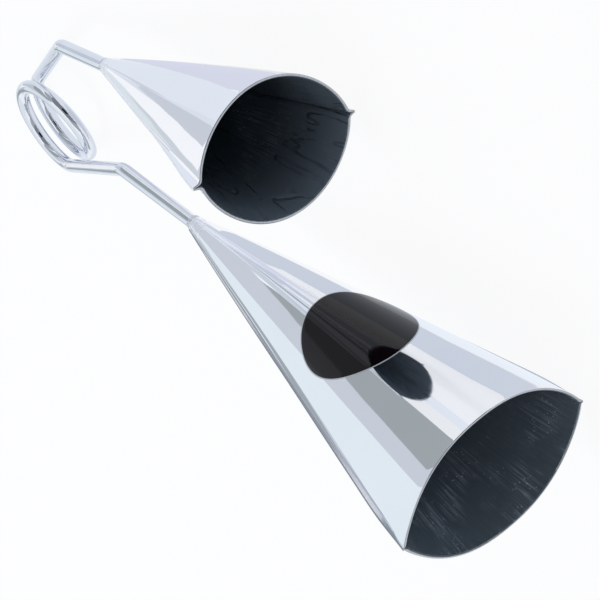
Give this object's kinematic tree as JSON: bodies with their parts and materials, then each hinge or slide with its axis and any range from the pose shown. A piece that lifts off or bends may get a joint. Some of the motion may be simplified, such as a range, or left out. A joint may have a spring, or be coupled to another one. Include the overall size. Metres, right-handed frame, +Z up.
{
  "type": "agogo bell",
  "caption": "Double agogo bell: a large and a small conical chrome bell, black inside, on one bent rod whose coil lets them be squeezed together.",
  "frame": {"origin": "centre of the bottom of the bounding box of the bell lying at rest on its side", "axes": "+X from the coil along the large bell, towards the open mouths; +Y from the large bell towards the small one; +Z up, close to the coil's axis"},
  "size_m": [0.3826, 0.1807, 0.1038],
  "materials": {
    "bell_sheet": "polished chrome plate on sheet steel",
    "rod": "polished chrome plate on round steel rod",
    "weld": "chrome plate over a dressed weld bead",
    "black_coat": "satin black lacquer film, brushed on",
    "badge_print": "gloss black printed ink film"
  },
  "bodies": {
    "large_side": {"large_arm": "rod", "spring_coil": "rod", "large_inner_shell": "bell_sheet", "large_outer_shell": "bell_sheet", "large_upper_seam_weld": "weld", "large_lower_seam_weld": "weld", "large_neck_weld": "weld", "large_inner_coat": "black_coat", "large_outer_coat": "black_coat", "badge": "badge_print"},
    "small_side": {"small_arm": "rod", "small_inner_shell": "bell_sheet", "small_outer_shell": "bell_sheet", "small_upper_seam_weld": "weld", "small_lower_seam_weld": "weld", "small_neck_weld": "weld", "small_inner_coat": "black_coat", "small_outer_coat": "black_coat"}
  },
  "joints": [
    {"name": "squeeze", "type": "hinge", "parent": "large_side", "child": "small_side", "pos_m": [-0.16418, -0.06264, 0.01227], "axis": [0.0551, 0.1766, -0.9827], "range_deg": [0, 11.6], "stiffness_Nm_per_rad": 105, "deforming": ["spring_coil"]}
  ]
}
